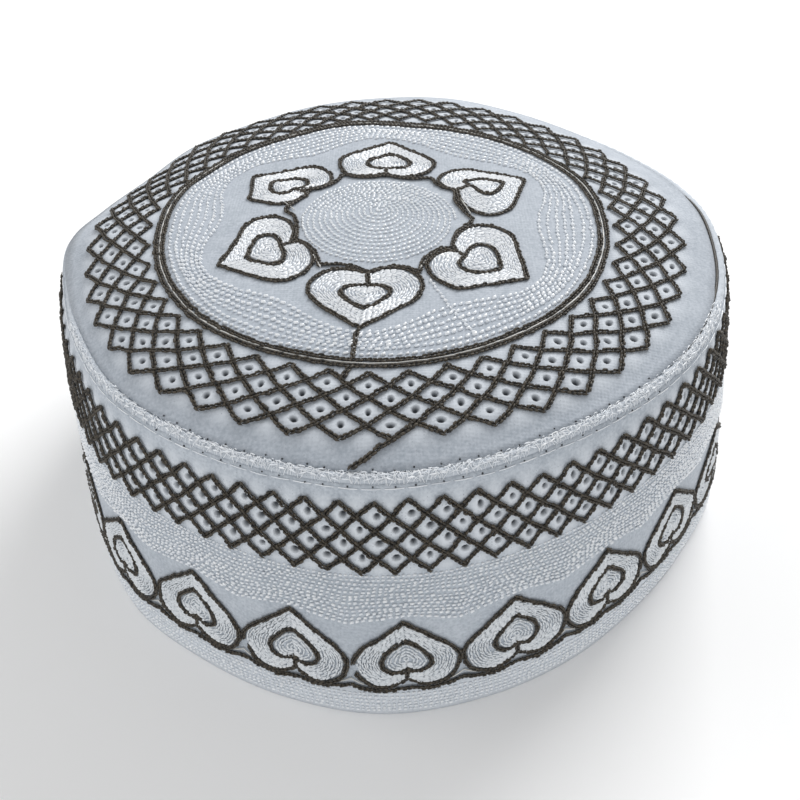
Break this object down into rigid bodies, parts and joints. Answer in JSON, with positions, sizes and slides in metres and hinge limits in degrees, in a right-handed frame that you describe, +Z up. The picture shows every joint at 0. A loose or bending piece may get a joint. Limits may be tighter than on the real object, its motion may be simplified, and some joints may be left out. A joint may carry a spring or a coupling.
{
  "type": "kufi cap",
  "caption": "Flat-topped stiffened cotton cap: a domed crown panel sewn to an upright side band, open underneath, with stitched decoration.",
  "frame": {"origin": "on the ground at the hem, under the middle of the hat's bounding box", "axes": "+Z up through the crown, -Y towards the front that the picture shows, +X to the viewer's right"},
  "size_m": [0.1858, 0.1856, 0.0782],
  "materials": {
    "crown_cloth": "stiffened cool white cotton, fine weave, matt",
    "band_cloth": "stiffened cool white cotton, fine weave, matt",
    "seam_thread": "white overcast thread over cloth, soft sheen"
  },
  "bodies": {
    "root": {"crown_panel": "crown_cloth", "side_band": "band_cloth", "rim_seam": "seam_thread"}
  },
  "joints": []
}
